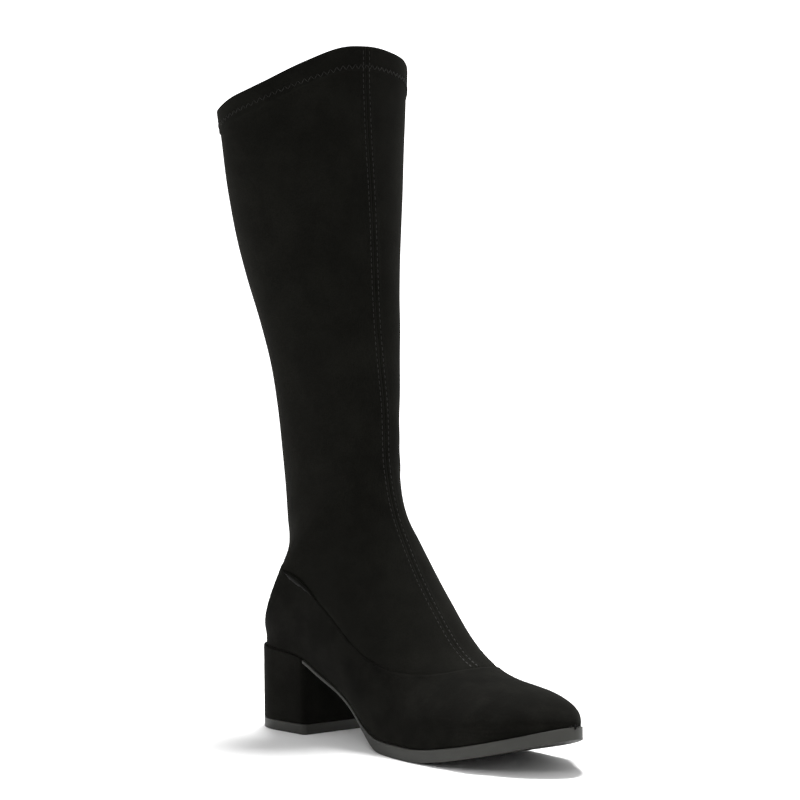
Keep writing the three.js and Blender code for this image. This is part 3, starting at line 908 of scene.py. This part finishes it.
# Heel: a plastic block wrapped in the foot's suede, its flat front face towards the arch. It is
# screwed and glued on from inside.
LIFT = 6.2
HEEL_CORNER = 3.0
HEEL_BACK = 9.0


def heel_side(x, y):
    """The same for the heel, whose upright edges beside its front face are rounded."""
    past = min(max(x - HEEL_LENGTH + HEEL_CORNER, 0.0), HEEL_CORNER)
    cut = HEEL_CORNER - math.sqrt(HEEL_CORNER ** 2 - past ** 2)
    return y * (half_width(x, 1 if y < 0 else 2, 0.0) - cut)


def heel_stations(count):
    """Stations along the heel, close together at its back and at its rounded edges."""
    corner = HEEL_LENGTH - HEEL_CORNER
    back = [HEEL_BACK * (i / 14) ** 2 for i in range(14)]
    middle = [HEEL_BACK + (corner - HEEL_BACK) * i / count for i in range(count)]
    front = [corner + HEEL_CORNER * math.sin(math.pi / 2 * i / 6) for i in range(7)]
    return back + middle + front


def lean_and_place(bm):
    """Leans the heel's points with its front face and moves them into the frame."""
    for vert in bm.verts:
        vert.co.x = leaned(vert.co.x, vert.co.z)
        vert.co = placed(vert.co)


def heel_top(x):
    """Height of the heel's top, below the seat, before the heel leans."""
    return sole_top(leaned(x, sole_top(x)))


bm = rubber_slab(heel_stations(16), heel_side, lambda x: LIFT + GAP, heel_top, 0.7, True)
lean_and_place(bm)
heel = finish_mesh(bm, "covered_heel")
weighted_normals(heel)
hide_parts("heel_block")
# The heel's cover takes a lighter tone than the foot part's suede, though it is the same suede; the foot
# part's darker tone is painted shade.
heel.data.materials.append(suede("heel_suede", (0.0057, 0.0056, 0.0047), 50, 0.2))

# Top lift: a slice of the same rubber as the sole, ribbed below, nailed and glued under the heel.
bm = rubber_slab(heel_stations(84), heel_side, lambda x: ribs(x, 2, 56), lambda x: LIFT + 0.1, 0.4, False)
lean_and_place(bm)
lift = finish_mesh(bm, "top_lift")
weighted_normals(lift)
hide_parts("heel_top_lift")
lift.data.materials.append(sole_rubber)

# Insole: a padded board under dark cloth, laid loose in the foot part. The frame's own solid has
# its shape and takes only the cloth.
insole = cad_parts["insole"]
insole.data.materials.clear()
insole.data.materials.append(cloth("insole_cloth", (0.012, 0.012, 0.011), (0.028, 0.028, 0.025), 900))

# White floor, soft daylight studio and the photograph's camera
bpy.ops.mesh.primitive_circle_add(vertices=96, radius=1.1, fill_type="NGON", location=(0, 0, 0))
floor = bpy.context.object
floor.name = "floor"
paper = bpy.data.materials.new("white_paper")
paper.use_nodes = True
paper.node_tree.nodes["Principled BSDF"].inputs["Base Color"].default_value = (0.95, 0.95, 0.95, 1)
paper.node_tree.nodes["Principled BSDF"].inputs["Roughness"].default_value = 0.9
floor.data.materials.append(paper)

bpy.ops.mesh.primitive_uv_sphere_add(segments=48, ring_count=24, radius=18, location=(0, 0, 0))
backdrop = bpy.context.object
backdrop.name = "backdrop"
backdrop.visible_diffuse = False
backdrop.visible_glossy = False
backdrop.visible_shadow = False
glow = bpy.data.materials.new("white_backdrop")
glow.use_nodes = True
glow.node_tree.nodes["Principled BSDF"].inputs["Base Color"].default_value = (1, 1, 1, 1)
glow.node_tree.nodes["Principled BSDF"].inputs["Emission Color"].default_value = (1, 1, 1, 1)
glow.node_tree.nodes["Principled BSDF"].inputs["Emission Strength"].default_value = 1.05
backdrop.data.materials.append(glow)

world = bpy.data.worlds.new("studio")
bpy.context.scene.world = world
world.use_nodes = True
world.node_tree.nodes["Background"].inputs["Color"].default_value = (1, 1, 1, 1)
world.node_tree.nodes["Background"].inputs["Strength"].default_value = 0.6
bpy.context.scene.view_settings.view_transform = "Standard"


def soft_light(name, place, size, power):
    """A round light of a size in metres, facing the boot."""
    light = bpy.data.lights.new(name, "AREA")
    light.shape = "DISK"
    light.size = size
    light.energy = power
    lamp = bpy.data.objects.new(name, light)
    lamp.location = place
    lamp.rotation_euler = (Vector((0, 0, 0.15)) - Vector(place)).to_track_quat("-Z", "Y").to_euler()
    bpy.context.collection.objects.link(lamp)


soft_light("overhead", (-0.3, 0.3, 2.2), 0.6, 90)
soft_light("front", (1.3, -1.9, 1.9), 1.0, 14)

camera_data = bpy.data.cameras.new("camera")
camera_data.lens = 141.88
camera_data.sensor_width = 36
camera = bpy.data.objects.new("camera", camera_data)
eye = placed(Vector((1571.3, -1221.5, 313.4)))
target = placed(Vector((116.1, 0.0, 208.2)))
camera.location = eye
camera.rotation_euler = (target - eye).to_track_quat("-Z", "Y").to_euler()
bpy.context.collection.objects.link(camera)
bpy.context.scene.camera = camera
